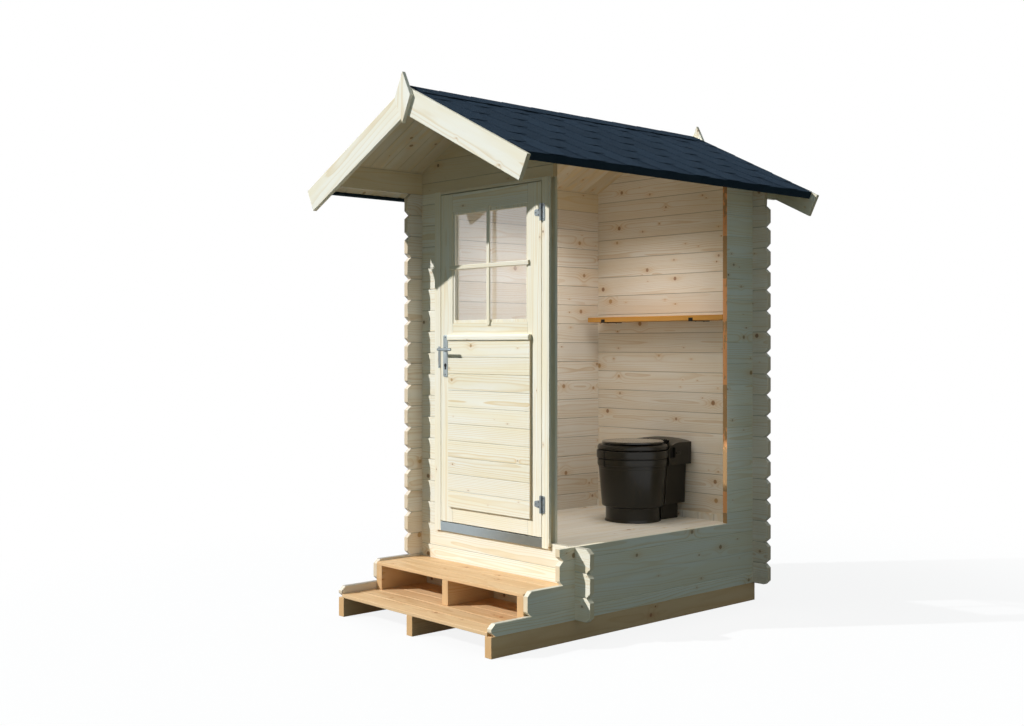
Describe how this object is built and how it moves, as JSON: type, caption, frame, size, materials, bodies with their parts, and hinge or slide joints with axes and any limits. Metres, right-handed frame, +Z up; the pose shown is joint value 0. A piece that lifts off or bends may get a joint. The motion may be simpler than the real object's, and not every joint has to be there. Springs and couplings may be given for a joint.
{
  "type": "wooden outhouse cabin",
  "caption": "Small log outhouse with steps, a part-glazed door, a shingled gable roof and a dry toilet inside; one side is cut away.",
  "frame": {"origin": "on the ground, on the middle base beam's underside, in the plane of the front wall's outer face and midway between the side walls", "axes": "+X along the front wall towards the cut-away side, +Y from the front wall to the back wall, +Z up"},
  "size_m": [1.712, 2.208, 2.698],
  "materials": {
    "treated_wood": "planed pressure-treated boards and beams, orange-tan",
    "floor_wood": "planed pale boards, matt",
    "spruce_logs": "planed untreated spruce logs, cream with tan grain and brown knots",
    "roof_wood": "planed untreated spruce boards",
    "shingle": "mineral-faced bitumen shingles, dark slate blue",
    "door_wood": "planed untreated spruce joinery",
    "door_glass": "clear pane, glossy",
    "zinc_metal": "zinc-plated steel, satin",
    "sill_metal": "rolled aluminium angle, satin",
    "shelf_wood": "oiled orange-brown board",
    "bracket_metal": "black powder-coated steel strap",
    "toilet_plastic": "moulded black plastic, glossy"
  },
  "bodies": {
    "cabin": {"beam_left": "treated_wood", "beam_middle": "treated_wood", "beam_right": "treated_wood", "lower_tread": "treated_wood", "step_blocks": "treated_wood", "upper_tread": "treated_wood", "floor_ledgers": "floor_wood", "floor_joists": "floor_wood", "floor_boards": "floor_wood", "skirting": "floor_wood", "front_wall_base": "spruce_logs", "front_wall_left": "spruce_logs", "front_gable": "spruce_logs", "left_plinth": "spruce_logs", "left_wall": "spruce_logs", "left_purlin": "spruce_logs", "right_plinth": "spruce_logs", "right_wall_low": "spruce_logs", "right_wall_rear": "spruce_logs", "right_purlin": "spruce_logs", "back_wall": "spruce_logs", "ridge_purlin": "roof_wood", "roof_boards_left": "roof_wood", "roof_boards_right": "roof_wood", "shingles_left": "shingle", "shingles_right": "shingle", "ridge_cap": "shingle", "eave_trim_left": "shingle", "eave_trim_right": "shingle", "barge_front_left": "roof_wood", "barge_front_right": "roof_wood", "barge_rear_left": "roof_wood", "barge_rear_right": "roof_wood", "finial_front": "roof_wood", "finial_rear": "roof_wood", "frame_left": "door_wood", "frame_right": "door_wood", "frame_head": "door_wood", "door_sill": "door_wood", "sill_strip": "sill_metal", "keep_plate": "zinc_metal", "hinge_frame_leaves": "zinc_metal", "shelf_board": "shelf_wood", "shelf_brackets": "bracket_metal", "toilet_bucket": "toilet_plastic", "toilet_seat": "toilet_plastic", "toilet_box": "toilet_plastic"},
    "door": {"door_stiles": "door_wood", "door_rails": "door_wood", "door_panel": "door_wood", "drip_moulding": "door_wood", "door_beads": "door_wood", "door_glass": "door_glass", "lock_plates": "zinc_metal", "hinge_door_leaves": "zinc_metal"},
    "lever": {"lever_spindle": "zinc_metal", "lever_grips": "zinc_metal"},
    "lid": {"toilet_lid": "toilet_plastic"}
  },
  "joints": [
    {"name": "door_hinge", "type": "hinge", "parent": "cabin", "child": "door", "pos_m": [0.3845, -0.021, 1.3], "axis": [0, 0, 1], "range_deg": [0, 105]},
    {"name": "lever_turn", "type": "hinge", "parent": "door", "child": "lever", "pos_m": [-0.349, 0, 1.37], "axis": [0, 1, 0], "range_deg": [0, 38], "stiffness_Nm_per_rad": 2, "springref_deg": -17.19},
    {"name": "lid_hinge", "type": "hinge", "parent": "cabin", "child": "lid", "pos_m": [0.01, 1.238, 0.852], "axis": [-1, 0, 0], "range_deg": [0, 98]}
  ]
}
